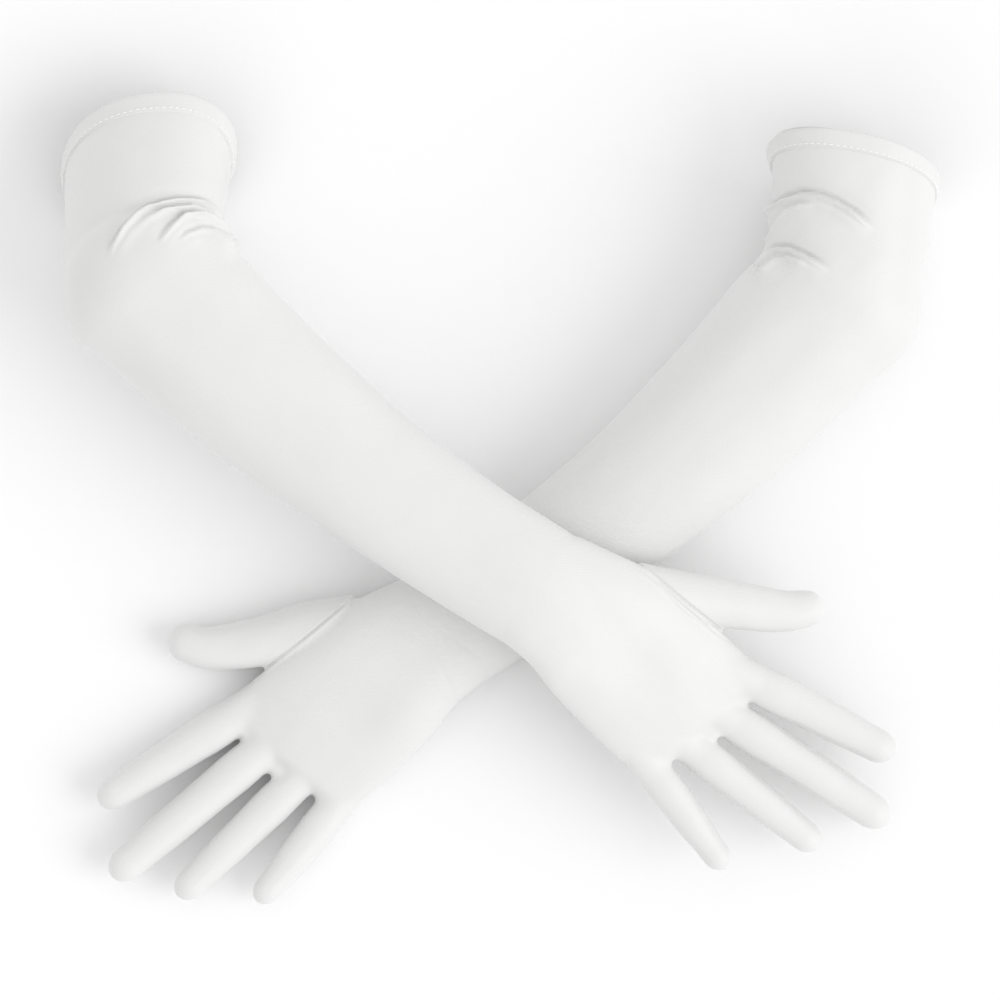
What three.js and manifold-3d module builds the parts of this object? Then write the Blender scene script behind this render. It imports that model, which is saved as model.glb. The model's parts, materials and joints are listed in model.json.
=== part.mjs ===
// A pair of long satin opera gloves, filled as if worn, lying palm up and crossed at the wrists.
// Millimetres, +Z up. The pair rests on z = 0 and is centred on the origin in X and Y.
// The right glove lies on the surface and the left glove lies across it.
//
// Each glove is sewn from a palm panel and a back panel, a thumb, narrow strips between the fingers
// (fourchettes) and a turned hem. The panels are divided at the elbow, the wrist and the knuckles,
// where the cloth folds when the glove moves.

import * as THREE from "three";
import { mergeVertices } from "three/addons/utils/BufferGeometryUtils.js";
import Module from "manifold-3d";

const wasm = await Module();
wasm.setup();

// ---- cloth and clearances ----
const CLOTH = 1.2; // wall of every shell
const SEAM_GAP = 0.4; // between two edges that are sewn together
const RUN_GAP = 0.7; // between two parts that turn past each other
const ROOM_BESIDE = 3.2; // beside a finger's root
const PILE_GAP = 2; // between the left glove and the right glove where they cross

// ---- lengths, seen from above ----
const SLEEVE_ABOVE_ELBOW = 63; // elbow to the edge of the hem
const FOREARM = 251; // elbow to wrist
const HAND = 98.5; // wrist to the middle of the knuckle line
const FOREARM_BOW = 8; // how far the forearm bows towards the little finger's side
const HEM_DEPTH = 8;
const HEM_FLARE = 1.6; // how far the hem stands out from the sleeve
const HEM_SLANT = 22; // degrees; the sleeve is longer over the palm's side of the arm
const STITCH = 0.8; // thickness of the row of stitches
const STITCH_INSET = 1.2; // from the hem's inner edge to the stitches

// ---- girths: half width across the arm, half thickness up and down ----
const HEM_GIRTH = { w: 43, t: 40 };
const UPPER_GIRTH = { w: 41.5, t: 38.5 };
const ELBOW_GIRTH = { w: 42, t: 38 };
// at: share of the way from elbow to wrist
const FOREARM_GIRTHS = [
  { at: 0.16, w: 41.5, t: 36.5 },
  { at: 0.33, w: 39.5, t: 34.5 },
  { at: 0.5, w: 36.5, t: 31 },
  { at: 0.67, w: 33.5, t: 26.5 },
  { at: 0.84, w: 32, t: 22.5 },
];
const WRIST_GIRTH = { w: 33, t: 20 };
const PALM_GIRTH = { w: 39.5, t: 16.5 };
const KNUCKLE_GIRTH = { w: 41.5, t: 12.5 };

// ---- fingers: forward and aside give the root's middle from the knuckle line's middle ----
const FINGERS = {
  index: { forward: 16.5, aside: 32.8, length: 78, w: 9.9, t: 9.6 },
  middle: { forward: 19, aside: 10.8, length: 93.5, w: 10.3, t: 9.8 },
  ring: { forward: 13.5, aside: -12.6, length: 79.5, w: 9.8, t: 9.4 },
  little: { forward: 5, aside: -34.2, length: 60, w: 8.6, t: 8.4 },
};
const FINGER_ORDER = ["index", "middle", "ring", "little"];
const FINGER_TAPER = 0.8; // girth where the rounded tip starts, as a share of the root's
const FINGER_LIFT = 1.2; // of a finger's root above the lowest it could lie
const STRIP_HALF_HEIGHT = 4.2; // the strip between two fingers
const STRIP_END = 14; // from the end of the strip to the fingertip
const STRIP_WRAP = 0.6; // how far the strip's edges reach round the finger, as a share of its half width

// ---- thumb: points beyond the side of the hand ----
const THUMB = {
  rootBehind: 38.5, // middle of the thumb's seam, behind the knuckle line
  seamHalf: 25, // half the length of that seam
  seamStandsOff: 2, // from the widest part of the palm
  drops: 160, // the thumb would reach the surface this far along
  girths: [
    { forward: -24, out: -12, w: 16, t: 14 },
    { forward: 0, out: 0, w: 15.5, t: 13.5 },
    { forward: 16, out: 10, w: 13, t: 11.5 },
    { forward: 32, out: 19, w: 11.4, t: 10.6 },
    { forward: 43.5, out: 29, w: 10.4, t: 9.8 },
    { forward: 50, out: 39, w: 8.6, t: 8.6 },
  ],
};

// ---- how far each part turns, in degrees ----
const CURL = 60;
const THUMB_CURL = 45;
const ELBOW_FOLD = 30;
const WRIST_TURN = 12;
const TURN_STEPS = 4; // positions at which one part is kept clear of another that turns

// ---- how each glove lies: headings in degrees from +X, heights of the middle of the arm, and how far
// the sleeve is pulled along the forearm as a share of its own length. elbowStraightens brings the
// arm to within 3 degrees of straight ----
const POSES = {
  left: {
    wrist: [19, -43.8],
    pulledAlong: 0.976,
    thumbSide: 1,
    upperHeading: 91.5,
    elbowStraightens: 48,
    forearmHeading: -38,
    handHeading: -39.5,
    hemHeight: 23,
    elbowHeight: 66,
    spread: { index: 12.1, middle: 6.3, ring: 1.3, little: -13.7 },
    thumbOpen: 3,
    onTop: true,
  },
  right: {
    wrist: [-25, -63.6],
    pulledAlong: 1.024,
    thumbSide: -1,
    upperHeading: 83,
    elbowStraightens: 40,
    forearmHeading: 221,
    handHeading: 218.8,
    hemHeight: 38.5,
    elbowHeight: 40,
    spread: { index: 6.3, middle: -1.3, ring: -5.2, little: -12.2 },
    thumbOpen: -3,
    onTop: false,
  },
};

// ---- how finely the shells are faceted ----
const LIMB_SIDES = 12;
const DIGIT_SIDES = 8;
const UPPER_STEPS = 3;
const FOREARM_STEPS = 5;
const HAND_STEPS = 4;
const HEM_STEPS = 2;
const FINGER_STEPS = 2;
const TIP_STEPS = 2;
const PIVOT_SIDES = 18;
const PIVOT_STEPS = 6;
const THUMB_STEPS = 4;

const PAST = 5; // how far a cutting shape runs past the end that it opens
const CROSSING_AT = FOREARM_GIRTHS.at(-1).at; // share of the forearm where the gloves cross
const RESTS_FROM = 0.4; // share of the forearm from which the right glove touches the surface
const ROUNDNESS = 2.3; // 2 is an ellipse, more is squarer
const UP = new THREE.Vector3(0, 0, 1);
const CLOTH_WHITE = new THREE.MeshStandardMaterial({ color: 0xf4f4f2, roughness: 0.42, metalness: 0 });
const THREAD_WHITE = new THREE.MeshStandardMaterial({ color: 0xfafafa, roughness: 0.6, metalness: 0 });

const radians = THREE.MathUtils.degToRad;
const heading = (degrees) => new THREE.Vector3(Math.cos(radians(degrees)), Math.sin(radians(degrees)), 0);

// ---- solids ----

// Turns a closed three.js geometry into a manifold-3d solid.
function solidOf(geometry) {
  const bare = geometry.clone();
  bare.deleteAttribute("normal");
  bare.deleteAttribute("uv");
  const merged = mergeVertices(bare, 1e-4);
  return new wasm.Manifold(
    new wasm.Mesh({
      numProp: 3,
      vertProperties: new Float32Array(merged.attributes.position.array),
      triVerts: new Uint32Array(merged.index.array),
    }),
  );
}

// One point of a section. Power 2 is an ellipse; a high power is a rectangle.
function sectionPoint(ring, angle, power) {
  const c = Math.cos(angle);
  const s = Math.sin(angle);
  const x = Math.sign(c) * Math.abs(c) ** (2 / power) * ring.w;
  const z = Math.sign(s) * Math.abs(s) ** (2 / power) * ring.t;
  return ring.p.clone().addScaledVector(ring.side, x).addScaledVector(ring.up, z);
}

// A closed barrel whose rings are moved onto the sections given.
function barrel(rings, sides = LIMB_SIDES, power = ROUNDNESS) {
  const profile = [new THREE.Vector2(0, 0)];
  rings.forEach((_, i) => profile.push(new THREE.Vector2(1, i)));
  profile.push(new THREE.Vector2(0, rings.length - 1));
  const geometry = new THREE.LatheGeometry(profile, sides);
  const position = geometry.attributes.position;
  for (let i = 0; i < position.count; i++) {
    const turn = Math.round((Math.atan2(position.getX(i), position.getZ(i)) / (2 * Math.PI)) * sides);
    const onAxis = Math.hypot(position.getX(i), position.getZ(i)) < 0.5;
    const ring = rings[Math.round(position.getY(i))];
    const q = onAxis ? ring.p : sectionPoint(ring, ((turn + 0.5) / sides) * 2 * Math.PI, power);
    position.setXYZ(i, q.x, q.y, q.z);
  }
  return solidOf(geometry);
}

// Sections along a smooth line through stations of { p, w, t, tilt }. Standing sections are upright
// where tilt is 0 and lean back along the line by tilt degrees; the others are square to the line.
function ringsAlong(stations, steps, { from = 0, to = 1, standing = true } = {}) {
  const line = new THREE.CatmullRomCurve3(stations.map((s) => s.p), false, "centripetal");
  const girth = new THREE.CatmullRomCurve3(stations.map((s) => new THREE.Vector3(s.w, s.t, s.tilt ?? 0)));
  const rings = [];
  for (let i = 0; i <= steps; i++) {
    const u = from + ((to - from) * i) / steps;
    const p = line.getPoint(u);
    const g = girth.getPoint(u);
    const along = line.getTangent(u);
    const side = UP.clone().cross(along).normalize();
    const level = side.clone().cross(UP);
    const tilt = radians(g.z);
    const leaning = UP.clone().multiplyScalar(Math.cos(tilt)).addScaledVector(level, -Math.sin(tilt));
    const up = standing ? leaning : along.clone().cross(side).normalize();
    rings.push({ p, side, up, along, w: g.x, t: g.y });
  }
  return rings;
}

const grown = (rings, by) => rings.map((r) => ({ ...r, w: r.w + by, t: r.t + by }));

// A ring moved along the line by d, for lengthening an end.
const moved = (ring, d) => ({ ...ring, p: ring.p.clone().addScaledVector(ring.along, d) });

// The ring a share of the way from one ring to another.
const between = (a, b, k) => ({
  ...a,
  p: a.p.clone().lerp(b.p, k),
  w: THREE.MathUtils.lerp(a.w, b.w, k),
  t: THREE.MathUtils.lerp(a.t, b.t, k),
});

// Rings that round off the last end of a digit.
function roundEnd(ring, reach) {
  const caps = [];
  for (let i = 1; i <= TIP_STEPS; i++) {
    const a = (i / TIP_STEPS) * radians(84);
    const k = Math.cos(a);
    caps.push({ ...ring, p: moved(ring, reach * Math.sin(a)).p, w: ring.w * k, t: ring.t * k });
  }
  return caps;
}

// A cushion shape turned about a vertical axis. Its section is the limb's own, so a limb that turns
// about that axis keeps the same outline.
function pivotBall(centre, girth, by = 0) {
  const profile = [];
  for (let i = 0; i <= PIVOT_STEPS; i++) {
    const angle = (i / PIVOT_STEPS - 0.5) * Math.PI;
    const c = Math.abs(Math.cos(angle)) ** (2 / ROUNDNESS);
    const s = Math.sign(angle) * Math.abs(Math.sin(angle)) ** (2 / ROUNDNESS);
    profile.push(new THREE.Vector2(i % PIVOT_STEPS === 0 ? 0 : (girth.w + by) * c, (girth.t + by) * s));
  }
  const geometry = new THREE.LatheGeometry(profile, PIVOT_SIDES);
  geometry.rotateX(Math.PI / 2);
  geometry.translate(centre.x, centre.y, centre.z);
  return solidOf(geometry);
}

function turnedAbout(solid, point, axis, degrees) {
  const matrix = new THREE.Matrix4()
    .makeTranslation(point.x, point.y, point.z)
    .multiply(new THREE.Matrix4().makeRotationAxis(axis, radians(degrees)))
    .multiply(new THREE.Matrix4().makeTranslation(-point.x, -point.y, -point.z));
  return solid.transform(matrix.elements);
}

// The room that a digit turning about a hinge needs beyond its root: a fan, wider than the digit.
function hingeRoom(hinge, halfWidth, halfThickness, curl) {
  const reach = 40;
  const pastCurl = 20;
  const t = halfThickness + RUN_GAP;
  const shape = new THREE.Shape();
  shape.moveTo(0, -t);
  shape.lineTo(reach, -t);
  const radius = Math.hypot(reach, t);
  shape.absarc(0, 0, radius, Math.asin(-t / radius), radians(curl + pastCurl), false);
  const top = new THREE.Vector2(0, t).rotateAround(new THREE.Vector2(), radians(curl));
  shape.lineTo(top.x, top.y);
  shape.absarc(0, 0, t, Math.atan2(top.y, top.x), radians(270), false);
  const options = { depth: 2 * halfWidth, bevelEnabled: false, curveSegments: 6 };
  const fan = new THREE.ExtrudeGeometry(shape, options);
  fan.translate(0, 0, -halfWidth);
  fan.applyMatrix4(new THREE.Matrix4().makeBasis(hinge.out, hinge.up, hinge.axis.clone()));
  fan.translate(hinge.p.x, hinge.p.y, hinge.p.z);
  return solidOf(fan);
}

// A thin slit down the middle of a limb, where the two panels meet.
function slitAlong(rings) {
  const beside = 12;
  const wide = rings.map((r) => ({ ...r, w: (r.w + beside) * Math.SQRT2, t: (SEAM_GAP / 2) * Math.SQRT2 }));
  return barrel(wide, 4, 2);
}

// The biggest bodies of a solid, without crumbs, highest first.
function bodiesOf(solid, count) {
  const bodies = solid.decompose().sort((a, b) => b.volume() - a.volume());
  const middle = (s) => {
    const { min, max } = s.boundingBox();
    return (min[2] + max[2]) / 2;
  };
  return bodies.slice(0, count).sort((a, b) => middle(b) - middle(a));
}

function meshOf(name, solid, material) {
  const { vertProperties, triVerts } = solid.getMesh();
  const geometry = new THREE.BufferGeometry();
  geometry.setAttribute("position", new THREE.BufferAttribute(new Float32Array(vertProperties), 3));
  geometry.setIndex(new THREE.BufferAttribute(new Uint32Array(triVerts), 1));
  geometry.computeVertexNormals();
  const mesh = new THREE.Mesh(geometry, material);
  mesh.name = name;
  return mesh;
}

// ---- the glove's lines ----

// Height of the forearm's middle, from its share of the way to the wrist and its half thickness. The
// right glove lies on the surface and the left one is carried across it.
function forearmHeight(pose, share, t) {
  if (!pose.onTop) return t + (pose.elbowHeight - ELBOW_GIRTH.t) * Math.max(0, 1 - share / RESTS_FROM);
  const crossing = 3 * FOREARM_GIRTHS.at(-1).t + PILE_GAP;
  return THREE.MathUtils.lerp(pose.elbowHeight, crossing, THREE.MathUtils.smoothstep(share, 0, CROSSING_AT));
}

function gloveLines(pose) {
  // The gloves cross at the wrists, so a longer forearm moves the elbow away from there.
  const forward = heading(pose.forearmHeading);
  const elbow = new THREE.Vector3(pose.wrist[0], pose.wrist[1], 0)
    .addScaledVector(forward, -FOREARM * pose.pulledAlong)
    .setZ(pose.elbowHeight);
  const thumbward = heading(pose.forearmHeading + 90).multiplyScalar(pose.thumbSide);

  const forearmAt = (share) => {
    const bow = -FOREARM_BOW * 4 * share * (1 - share);
    const along = FOREARM * pose.pulledAlong * share;
    return elbow.clone().addScaledVector(forward, along).addScaledVector(thumbward, bow);
  };
  const forearm = [{ p: elbow.clone(), ...ELBOW_GIRTH }];
  for (const { at, w, t } of FOREARM_GIRTHS) {
    forearm.push({ p: forearmAt(at).setZ(forearmHeight(pose, at, t)), w, t });
  }
  const wristHeight = pose.onTop ? forearm.at(-1).p.z : WRIST_GIRTH.t;
  forearm.push({ p: forearmAt(1).setZ(wristHeight), ...WRIST_GIRTH });
  const wrist = forearm.at(-1).p;

  // The hand slopes evenly from the wrist to the fingertips.
  const handForward = heading(pose.handHeading);
  const tipHeight = FINGERS.middle.t * FINGER_TAPER;
  const reach = HAND + FINGERS.middle.forward + FINGERS.middle.length;
  const handHeight = (distance, t) =>
    pose.onTop ? THREE.MathUtils.lerp(wristHeight, tipHeight, distance / reach) : Math.max(t, tipHeight);
  const handAt = (distance, t) =>
    wrist.clone().addScaledVector(handForward, distance).setZ(handHeight(distance, t));
  const hand = [
    { p: wrist.clone(), ...WRIST_GIRTH },
    { p: handAt(HAND * 0.5, PALM_GIRTH.t), ...PALM_GIRTH },
    { p: handAt(HAND * 0.9, KNUCKLE_GIRTH.t), ...KNUCKLE_GIRTH },
    { p: handAt(HAND * 1.28, KNUCKLE_GIRTH.t), ...KNUCKLE_GIRTH },
  ];

  const upperForward = heading(pose.upperHeading);
  const rise = THREE.MathUtils.radToDeg(Math.atan2(pose.elbowHeight - pose.hemHeight, SLEEVE_ABOVE_ELBOW));
  const upperAt = (d, z) => elbow.clone().addScaledVector(upperForward, d).setZ(z);
  const upper = [
    { p: upperAt(SLEEVE_ABOVE_ELBOW, pose.hemHeight), ...HEM_GIRTH, tilt: HEM_SLANT + rise },
    {
      p: upperAt(SLEEVE_ABOVE_ELBOW / 2, (pose.hemHeight + pose.elbowHeight) / 2 + 1),
      ...UPPER_GIRTH,
      tilt: (HEM_SLANT + rise) / 2,
    },
    { p: elbow.clone(), ...ELBOW_GIRTH, tilt: 0 },
  ];

  const knuckles = handAt(HAND, KNUCKLE_GIRTH.t);
  const aside = heading(pose.handHeading + 90).multiplyScalar(pose.thumbSide);
  return { elbow, wrist, knuckles, upper, forearm, hand, handForward, aside, handHeight };
}

// A digit's hinge: out points along the digit, up lifts it over the palm, axis turns out towards up.
function hingeAt(p, out) {
  const axis = out.clone().cross(UP).normalize();
  const up = axis.clone().cross(out).normalize();
  return { p, out: out.clone().normalize(), up, axis };
}

// ---- the glove's pieces ----

function sleevePieces(name, pose, lines, pieces) {
  const elbowBall = pivotBall(lines.elbow, ELBOW_GIRTH, RUN_GAP);
  const rings = ringsAlong(lines.upper, UPPER_STEPS);
  const hemShare = HEM_DEPTH / SLEEVE_ABOVE_ELBOW / 2;

  // The forearm's outside, from which the sleeve above the elbow stays clear as it folds.
  const forearmRings = ringsAlong(lines.forearm, FOREARM_STEPS);
  const forearmClear = barrel(grown(forearmRings, RUN_GAP));
  const sleeveRings = ringsAlong(lines.upper, UPPER_STEPS, { from: hemShare });
  const longer = [moved(sleeveRings[0], -PAST), ...sleeveRings, moved(sleeveRings.at(-1), PAST)];
  let shell = barrel(sleeveRings).subtract(barrel(grown(longer, -CLOTH))).subtract(elbowBall);
  for (let i = 0; i <= TURN_STEPS; i++) {
    const angle = THREE.MathUtils.lerp(-pose.elbowStraightens, ELBOW_FOLD, i / TURN_STEPS);
    shell = shell.subtract(turnedAbout(forearmClear, lines.elbow, UP, pose.thumbSide * angle));
  }
  shell = shell.subtract(forearmClear);
  const [palm, back] = bodiesOf(shell.subtract(slitAlong([moved(rings[0], -2 * PAST), ...rings])), 2);
  pieces.upper_sleeve.push([`${name}_upper_sleeve_palm_panel`, palm]);
  pieces.upper_sleeve.push([`${name}_upper_sleeve_back_panel`, back]);

  // The hem is the cloth turned in and stitched down, so it is twice as thick and flares a little.
  const hemRings = ringsAlong(lines.upper, HEM_STEPS, { to: hemShare });
  hemRings[HEM_STEPS] = moved(hemRings[HEM_STEPS], -SEAM_GAP);
  const outer = hemRings.map((r, i) => {
    const flare = HEM_FLARE * (1 - i / (HEM_STEPS + 1));
    return { ...r, w: r.w + flare, t: r.t + flare };
  });
  const inner = grown(outer, -2 * CLOTH);
  const opening = barrel([moved(inner[0], -PAST), ...inner, moved(inner[HEM_STEPS], PAST)]);
  const hem = barrel(outer).subtract(opening);
  pieces.upper_sleeve.push([`${name}_hem_band`, hem]);

  // One row of stitches round the hem, near its inner edge.
  const stepLength = outer[HEM_STEPS].p.distanceTo(outer[HEM_STEPS - 1].p);
  const seatAt = (inset) => between(outer[HEM_STEPS], outer[HEM_STEPS - 1], inset / stepLength);
  const seats = [seatAt(STITCH_INSET + STITCH), seatAt(STITCH_INSET)];
  const room = grown([moved(seats[0], -PAST), ...seats, moved(seats[1], PAST)], SEAM_GAP);
  const row = barrel(grown(seats, SEAM_GAP + STITCH)).subtract(barrel(room));
  pieces.upper_sleeve.push([`${name}_hem_stitching`, row, THREAD_WHITE]);
}

function forearmPieces(name, lines, pieces) {
  const rings = ringsAlong(lines.forearm, FOREARM_STEPS);
  const insideRings = grown(rings, -CLOTH);
  const upperRings = ringsAlong(lines.upper, UPPER_STEPS);
  const upperInside = barrel(grown([moved(upperRings[0], -PAST), ...upperRings], -CLOTH));
  const handRings = ringsAlong(lines.hand, HAND_STEPS);
  const handClear = barrel(grown([moved(handRings[0], -2 * CLOTH), ...handRings], RUN_GAP));
  let shell = barrel(rings)
    .add(pivotBall(lines.elbow, ELBOW_GIRTH))
    .subtract(barrel([...insideRings, moved(insideRings.at(-1), PAST)]))
    .subtract(pivotBall(lines.elbow, ELBOW_GIRTH, -CLOTH))
    .subtract(upperInside)
    .subtract(pivotBall(lines.wrist, WRIST_GIRTH, RUN_GAP));
  for (let i = 0; i <= TURN_STEPS; i++) {
    const angle = THREE.MathUtils.lerp(-WRIST_TURN, WRIST_TURN, i / TURN_STEPS);
    shell = shell.subtract(turnedAbout(handClear, lines.wrist, UP, angle));
  }
  const slit = slitAlong([moved(rings[0], -ELBOW_GIRTH.w - 2 * PAST), ...rings, moved(rings.at(-1), PAST)]);
  const [palm, back] = bodiesOf(shell.subtract(slit), 2);
  pieces.forearm.push([`${name}_forearm_palm_panel`, palm], [`${name}_forearm_back_panel`, back]);
}

function fingerPieces(name, pose, lines, pieces, joints, rooms) {
  FINGER_ORDER.forEach((finger, order) => {
    const f = FINGERS[finger];
    const root = lines.knuckles
      .clone()
      .addScaledVector(lines.handForward, f.forward)
      .addScaledVector(lines.aside, f.aside);
    root.z = lines.handHeight(HAND + f.forward, f.t + FINGER_LIFT);
    const plan = heading(pose.handHeading + pose.thumbSide * pose.spread[finger]);
    const tip = root.clone().addScaledVector(plan, f.length);
    tip.z = pose.onTop ? lines.handHeight(HAND + f.forward + f.length, 0) : f.t * FINGER_TAPER;
    const hinge = hingeAt(root, tip.clone().sub(root));

    const tipStart = root.clone().lerp(tip, 1 - (f.w * FINGER_TAPER) / f.length);
    const stations = [
      { p: root.clone().lerp(tip, 0.008), w: f.w, t: f.t },
      { p: root.clone().lerp(tipStart, 0.3), w: f.w * 1.03, t: f.t },
      { p: root.clone().lerp(tipStart, 0.7), w: f.w * 0.94, t: f.t * 0.92 },
      { p: tipStart, w: f.w * FINGER_TAPER, t: f.t * FINGER_TAPER },
    ];
    const rings = ringsAlong(stations, FINGER_STEPS, { standing: false });
    const last = rings.at(-1);
    const outside = [...rings, ...roundEnd(last, f.w * FINGER_TAPER)];
    const insideRings = grown([moved(rings[0], -PAST), ...rings], -CLOTH);
    const inside = [...insideRings, ...roundEnd(insideRings.at(-1), f.w * FINGER_TAPER - CLOTH)];
    let shell = barrel(outside, DIGIT_SIDES).subtract(barrel(inside, DIGIT_SIDES));

    // A strip of cloth forms each side that faces another finger.
    const sides = [
      [pose.thumbSide, order > 0, FINGER_ORDER[order - 1]],
      [-pose.thumbSide, order < FINGER_ORDER.length - 1, FINGER_ORDER[order + 1]],
    ];
    const stripRings = ringsAlong(stations, FINGER_STEPS, { to: 1 - STRIP_END / f.length, standing: false });
    const strips = [];
    for (const [sign, present, neighbour] of sides) {
      if (!present) continue;
      const block = (edge) => {
        const first = moved(stripRings[0], -PAST);
        const longer = [first, ...stripRings.slice(1, -1), moved(stripRings.at(-1), edge)];
        const beside = longer.map((r) => ({
          ...r,
          p: r.p.clone().addScaledVector(r.side, sign * r.w),
          w: r.w * STRIP_WRAP * Math.SQRT2,
          t: (STRIP_HALF_HEIGHT + edge) * Math.SQRT2,
        }));
        return barrel(beside, 4, 2);
      };
      strips.push([`${name}_${finger}_strip_beside_${neighbour}`, bodiesOf(shell.intersect(block(0)), 1)[0]]);
      shell = shell.subtract(block(SEAM_GAP));
    }
    const slit = slitAlong([moved(rings[0], -PAST), ...rings, moved(last, f.w * FINGER_TAPER + PAST)]);
    const [palm, back] = bodiesOf(shell.subtract(slit), 2);
    pieces[finger] = [
      [`${name}_${finger}_palm_panel`, palm],
      [`${name}_${finger}_back_panel`, back],
      ...strips,
    ];
    joints[`${name}_${finger}_curl`] = hinge;
    rooms.push(hingeRoom(hinge, f.w + ROOM_BESIDE, f.t, CURL));
  });
}

function thumbPieces(name, pose, lines, pieces, joints, rooms) {
  const edge = PALM_GIRTH.w + THUMB.seamStandsOff;
  const root = lines.knuckles
    .clone()
    .addScaledVector(lines.handForward, -THUMB.rootBehind)
    .addScaledVector(lines.aside, edge);
  root.z = lines.handHeight(HAND - THUMB.rootBehind, THUMB.girths[1].t);
  const slope = (lines.handHeight(HAND, 0) - lines.handHeight(0, 0)) / HAND;
  const open = new THREE.Matrix4().makeRotationAxis(UP, radians(pose.thumbSide * pose.thumbOpen));
  const stations = THUMB.girths.map((g) => {
    const offset = new THREE.Vector3()
      .addScaledVector(lines.handForward, g.forward)
      .addScaledVector(lines.aside, g.out)
      .applyMatrix4(open);
    const p = root.clone().add(offset);
    p.z = pose.onTop ? root.z + slope * g.forward : Math.max(root.z * (1 - g.forward / THUMB.drops), g.t);
    return { p, w: g.w, t: g.t };
  });
  const rings = ringsAlong(stations, THUMB_STEPS);
  const last = rings.at(-1);
  const outside = [...rings, ...roundEnd(last, last.w)];
  const insideRings = grown([moved(rings[0], -PAST), ...rings], -CLOTH);
  const hollow = barrel([...insideRings, ...roundEnd(insideRings.at(-1), last.w - CLOTH)], DIGIT_SIDES);

  // The thumb is sewn on along a line beside the hand, and turns about that line.
  const hinge = { p: root, out: lines.aside.clone(), up: UP.clone(), axis: lines.aside.clone().cross(UP) };
  const cutter = new THREE.BoxGeometry(2 * HAND, 2 * HAND, 2 * HAND);
  cutter.translate(-HAND, 0, 0);
  cutter.applyMatrix4(new THREE.Matrix4().makeBasis(hinge.out, hinge.up, hinge.axis));
  cutter.translate(root.x, root.y, root.z);
  const beyondSeam = barrel(outside, DIGIT_SIDES).subtract(hollow).subtract(solidOf(cutter));
  pieces.thumb = [[`${name}_thumb`, bodiesOf(beyondSeam, 1)[0]]];
  joints[`${name}_thumb_curl`] = hinge;
  rooms.push(hingeRoom(hinge, THUMB.seamHalf + 3 * RUN_GAP, THUMB.girths[1].t, THUMB_CURL));
  return hollow;
}

function handPieces(name, lines, pieces, rooms, thumbHollow) {
  const rings = ringsAlong(lines.hand, HAND_STEPS);
  const inside = grown(rings, -CLOTH);
  const forearmRings = ringsAlong(lines.forearm, FOREARM_STEPS);
  const forearmInside = barrel(grown([...forearmRings, moved(forearmRings.at(-1), PAST)], -CLOTH));
  let shell = barrel(rings)
    .add(pivotBall(lines.wrist, WRIST_GIRTH))
    .subtract(barrel([...inside, moved(inside.at(-1), PAST)]))
    .subtract(pivotBall(lines.wrist, WRIST_GIRTH, -CLOTH))
    .subtract(forearmInside)
    .subtract(thumbHollow);
  for (const room of rooms) shell = shell.subtract(room);
  const slit = slitAlong([moved(rings[0], -WRIST_GIRTH.w - 2 * PAST), ...rings, moved(rings.at(-1), PAST)]);
  const [palm, back] = bodiesOf(shell.subtract(slit), 2);
  pieces.hand.push([`${name}_hand_palm_panel`, palm], [`${name}_hand_back_panel`, back]);
}

function glove(name) {
  const pose = POSES[name];
  const lines = gloveLines(pose);
  const pieces = { upper_sleeve: [], forearm: [], hand: [] };
  const rooms = [];
  // Turning about +axis folds the elbow and turns the hand towards its thumb.
  const joints = {
    [`${name}_elbow`]: { p: lines.elbow, out: UP, up: UP, axis: new THREE.Vector3(0, 0, -pose.thumbSide) },
    [`${name}_wrist`]: { p: lines.wrist, out: UP, up: UP, axis: new THREE.Vector3(0, 0, pose.thumbSide) },
  };
  sleevePieces(name, pose, lines, pieces);
  forearmPieces(name, lines, pieces);
  fingerPieces(name, pose, lines, pieces, joints, rooms);
  const thumbHollow = thumbPieces(name, pose, lines, pieces, joints, rooms);
  handPieces(name, lines, pieces, rooms, thumbHollow);

  const group = new THREE.Group();
  group.name = `${name}_glove`;
  for (const [part, list] of Object.entries(pieces)) {
    const body = new THREE.Group();
    body.name = `${name}_${part}`;
    for (const [nodeName, solid, material = CLOTH_WHITE] of list) body.add(meshOf(nodeName, solid, material));
    group.add(body);
  }
  group.userData.joints = joints;
  return group;
}

// ---- the pair ----
const pair = new THREE.Group();
pair.name = "opera_gloves";
pair.add(glove("right"), glove("left"));

// The origin is under the middle of the pair, on the surface that it rests on.
const extent = new THREE.Box3().setFromObject(pair, true);
const middle = extent.getCenter(new THREE.Vector3());
pair.position.set(-middle.x, -middle.y, -extent.min.z);

export default pair;
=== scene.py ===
"""A pair of long white satin gloves, filled as if worn, lying crossed at the wrists with the palms up."""

import json
import math

import bmesh
import bpy
import numpy as np
from bpy.props import FloatProperty, FloatVectorProperty, PointerProperty
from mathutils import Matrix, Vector, noise


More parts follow.
